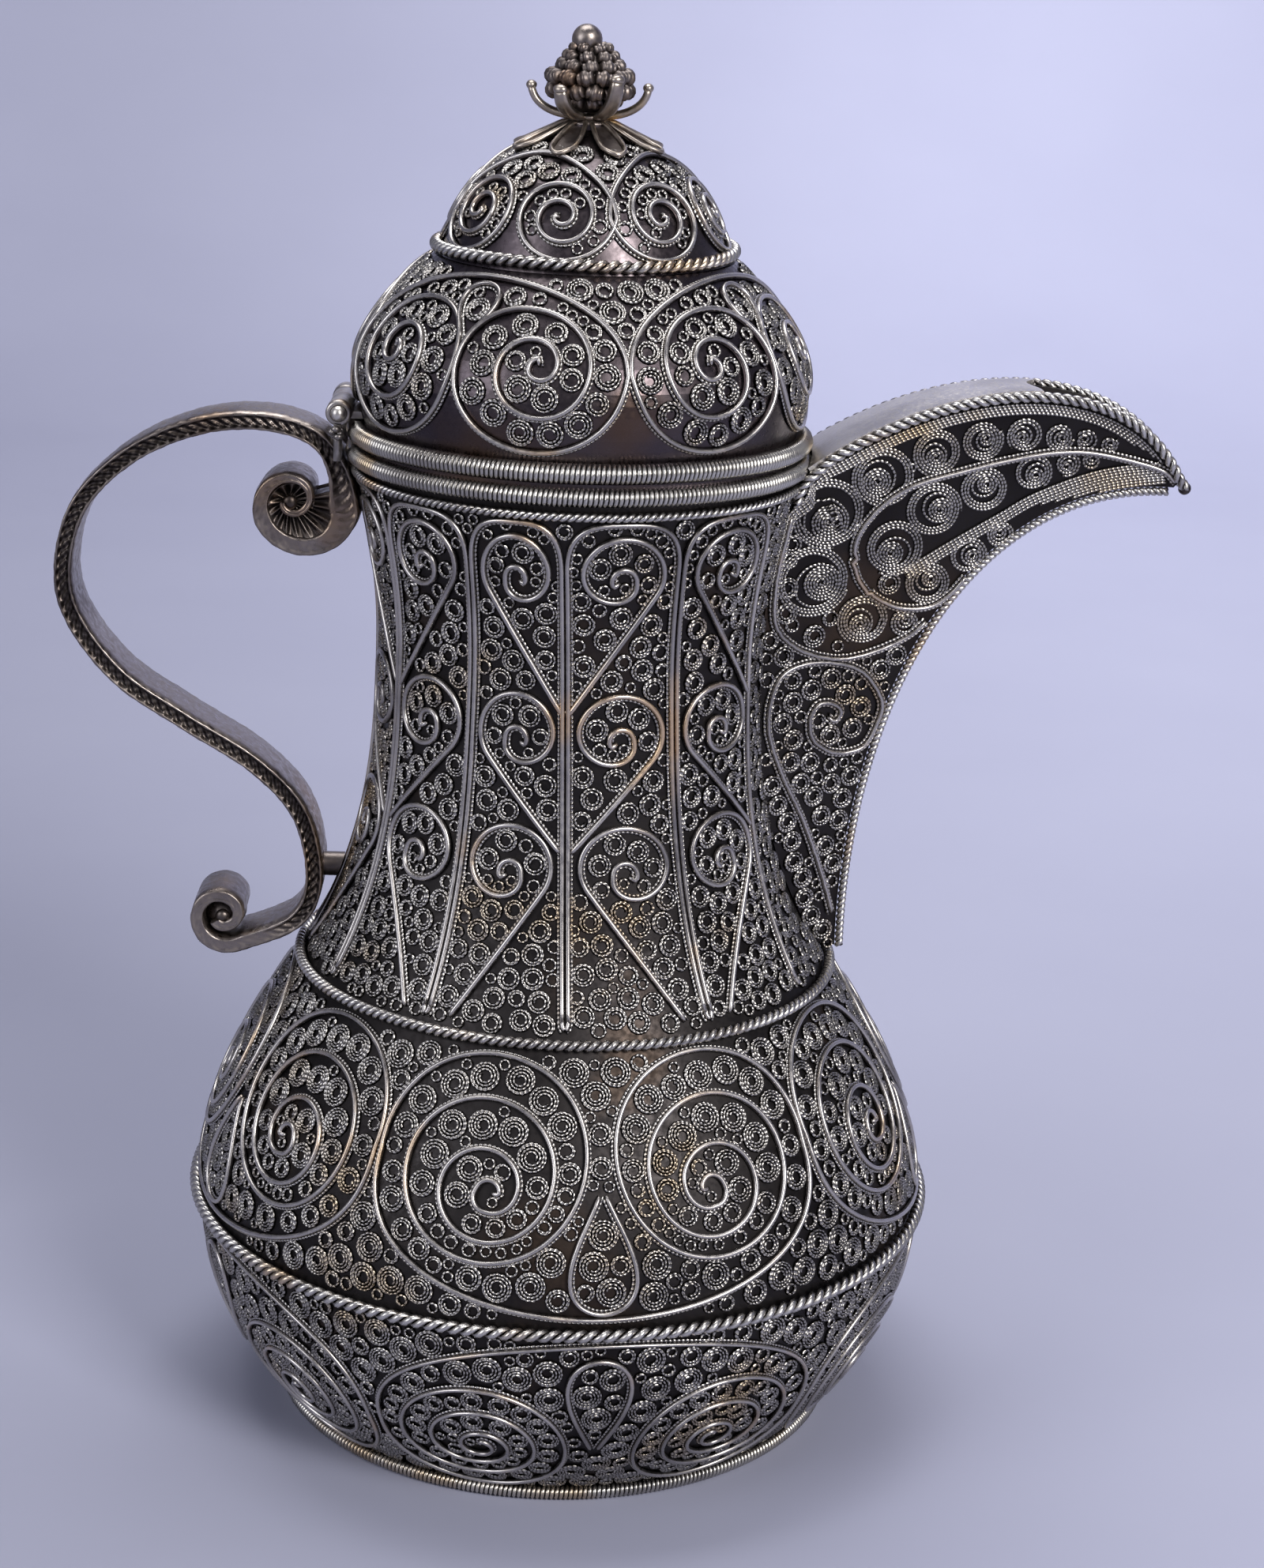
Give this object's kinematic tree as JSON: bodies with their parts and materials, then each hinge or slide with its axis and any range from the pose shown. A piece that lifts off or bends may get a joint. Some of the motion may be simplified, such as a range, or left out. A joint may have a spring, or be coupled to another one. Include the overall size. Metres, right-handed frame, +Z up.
{
  "type": "coffee pot",
  "caption": "Dallah coffee pot: bellied body in filigree wire, crescent beak spout, scroll handle and a hinged domed lid with a flower finial.",
  "frame": {"origin": "on the pot's axis, at the underside of the base plate", "axes": "+Z up along the pot's axis; +X towards the spout, -X towards the handle and hinge; Y across"},
  "size_m": [0.1994, 0.1376, 0.2505],
  "materials": {
    "sheet": "aged silver sheet, dark with oxide in the recesses",
    "wound_wire": "wound and twisted silver wire, bright on its crests",
    "scroll_wire": "polished flat silver wire with traces of gilding",
    "cast": "cast silver, satin, warm with wear",
    "fittings": "dull soldered silver"
  },
  "bodies": {
    "pot": {"base_plate": "sheet", "foot_coil": "wound_wire", "lower_belly": "sheet", "belly_rope": "wound_wire", "upper_belly": "sheet", "shoulder_rope": "wound_wire", "neck": "sheet", "neck_rope": "wound_wire", "rim_coil": "wound_wire", "neck_ribs": "scroll_wire", "neck_scrolls": "scroll_wire", "belly_medallions": "scroll_wire", "belly_drops": "scroll_wire", "lower_cartouches": "scroll_wire", "neck_rosettes": "wound_wire", "lower_rosettes": "wound_wire", "spout_body": "sheet", "spout_top_plate": "scroll_wire", "spout_edge_ropes": "wound_wire", "spout_keel_rope": "wound_wire", "spout_scrolls": "scroll_wire", "spout_tip_bead": "cast", "handle": "cast", "handle_lug": "fittings", "pot_knuckles": "fittings", "hinge_pin": "fittings"},
    "lid": {"lid_knuckle": "fittings", "lid_collar": "sheet", "lid_lower_dome": "sheet", "lid_coil": "wound_wire", "lid_rope": "wound_wire", "lid_upper_dome": "sheet", "lid_lower_scrolls": "scroll_wire", "lid_upper_scrolls": "scroll_wire", "finial_flower": "cast", "finial_calyx": "cast", "finial_stem": "fittings", "finial_beads": "fittings", "finial_ball": "cast"}
  },
  "joints": [
    {"name": "lid_hinge", "type": "hinge", "parent": "pot", "child": "lid", "pos_m": [-0.0415, 0, 0.18462], "axis": [0, -1, 0], "range_deg": [0, 95]}
  ]
}
